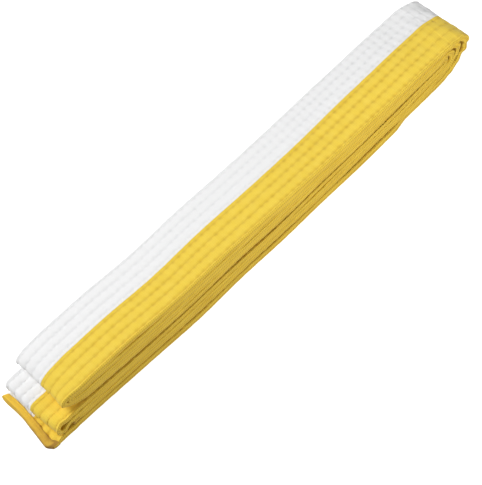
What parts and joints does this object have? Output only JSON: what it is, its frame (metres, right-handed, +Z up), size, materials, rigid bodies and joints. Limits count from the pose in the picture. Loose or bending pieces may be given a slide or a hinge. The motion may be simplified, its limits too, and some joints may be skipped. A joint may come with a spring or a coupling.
{
  "type": "martial arts belt",
  "caption": "Flat quilted martial arts belt, half white and half yellow along its length, folded into a layered bundle that swings open at its nested far fold, with bound ends.",
  "frame": {"origin": "middle of the bundle's bounding box on its underside, where it rests", "axes": "+X along the folded length towards the nested far fold, +Y across the belt towards its white edge, +Z up through the layers"},
  "size_m": [0.2986, 0.04, 0.026],
  "materials": {
    "white_cover": "matt woven cotton, quilted",
    "yellow_cover": "matt woven cotton, quilted",
    "core": "raw cotton padding",
    "white_thread": "matt thread",
    "yellow_thread": "matt thread",
    "end_binding": "matt woven tape"
  },
  "bodies": {
    "bottom_tail": {"bottom_tail_white_cover": "white_cover", "bottom_tail_yellow_cover": "yellow_cover", "bottom_tail_core": "core", "bottom_tail_white_stitching": "white_thread", "bottom_tail_yellow_stitching": "yellow_thread", "bottom_tail_end_binding": "end_binding", "far_wrap_outermost_white_cover": "white_cover", "far_wrap_outermost_yellow_cover": "yellow_cover", "far_wrap_outermost_core": "core", "far_wrap_outermost_white_stitching": "white_thread", "far_wrap_outermost_yellow_stitching": "yellow_thread"},
    "upper_stack": {"upper_loop_outer_white_cover": "white_cover", "upper_loop_outer_yellow_cover": "yellow_cover", "upper_loop_outer_core": "core", "upper_loop_outer_white_stitching": "white_thread", "upper_loop_outer_yellow_stitching": "yellow_thread", "upper_loop_inner_white_cover": "white_cover", "upper_loop_inner_yellow_cover": "yellow_cover", "upper_loop_inner_core": "core", "upper_loop_inner_white_stitching": "white_thread", "upper_loop_inner_yellow_stitching": "yellow_thread"},
    "lower_loop": {"lower_loop_white_cover": "white_cover", "lower_loop_yellow_cover": "yellow_cover", "lower_loop_core": "core", "lower_loop_white_stitching": "white_thread", "lower_loop_yellow_stitching": "yellow_thread", "far_wrap_innermost_white_cover": "white_cover", "far_wrap_innermost_yellow_cover": "yellow_cover", "far_wrap_innermost_core": "core", "far_wrap_innermost_white_stitching": "white_thread", "far_wrap_innermost_yellow_stitching": "yellow_thread", "far_wrap_third_white_cover": "white_cover", "far_wrap_third_yellow_cover": "yellow_cover", "far_wrap_third_core": "core", "far_wrap_third_white_stitching": "white_thread", "far_wrap_third_yellow_stitching": "yellow_thread"},
    "inner_tail": {"inner_tail_white_cover": "white_cover", "inner_tail_yellow_cover": "yellow_cover", "inner_tail_core": "core", "inner_tail_white_stitching": "white_thread", "inner_tail_yellow_stitching": "yellow_thread", "inner_tail_end_binding": "end_binding", "far_wrap_second_white_cover": "white_cover", "far_wrap_second_yellow_cover": "yellow_cover", "far_wrap_second_core": "core", "far_wrap_second_white_stitching": "white_thread", "far_wrap_second_yellow_stitching": "yellow_thread"}
  },
  "joints": [
    {"name": "last_fold_outer", "type": "hinge", "parent": "bottom_tail", "child": "upper_stack", "pos_m": [0.13623, 0, 0.01303], "axis": [0, 1, 0], "range_deg": [0, 175], "deforming": ["far_wrap_outermost_white_cover", "far_wrap_outermost_yellow_cover", "far_wrap_outermost_core", "far_wrap_outermost_white_stitching", "far_wrap_outermost_yellow_stitching"]},
    {"name": "last_fold_middle", "type": "hinge", "parent": "upper_stack", "child": "lower_loop", "pos_m": [0.13623, 0, 0.01303], "axis": [0, 1, 0], "range_deg": [-175, 0], "deforming": ["far_wrap_innermost_white_cover", "far_wrap_innermost_yellow_cover", "far_wrap_innermost_core", "far_wrap_innermost_white_stitching", "far_wrap_innermost_yellow_stitching", "far_wrap_third_white_cover", "far_wrap_third_yellow_cover", "far_wrap_third_core", "far_wrap_third_white_stitching", "far_wrap_third_yellow_stitching"]},
    {"name": "last_fold_inner", "type": "hinge", "parent": "upper_stack", "child": "inner_tail", "pos_m": [0.13623, 0, 0.01303], "axis": [0, 1, 0], "range_deg": [-175, 0], "deforming": ["far_wrap_second_white_cover", "far_wrap_second_yellow_cover", "far_wrap_second_core", "far_wrap_second_white_stitching", "far_wrap_second_yellow_stitching"]}
  ],
  "couplings": [
    {"joint": "last_fold_middle", "follows": "last_fold_outer", "ratio": -1},
    {"joint": "last_fold_inner", "follows": "last_fold_outer", "ratio": -1}
  ]
}
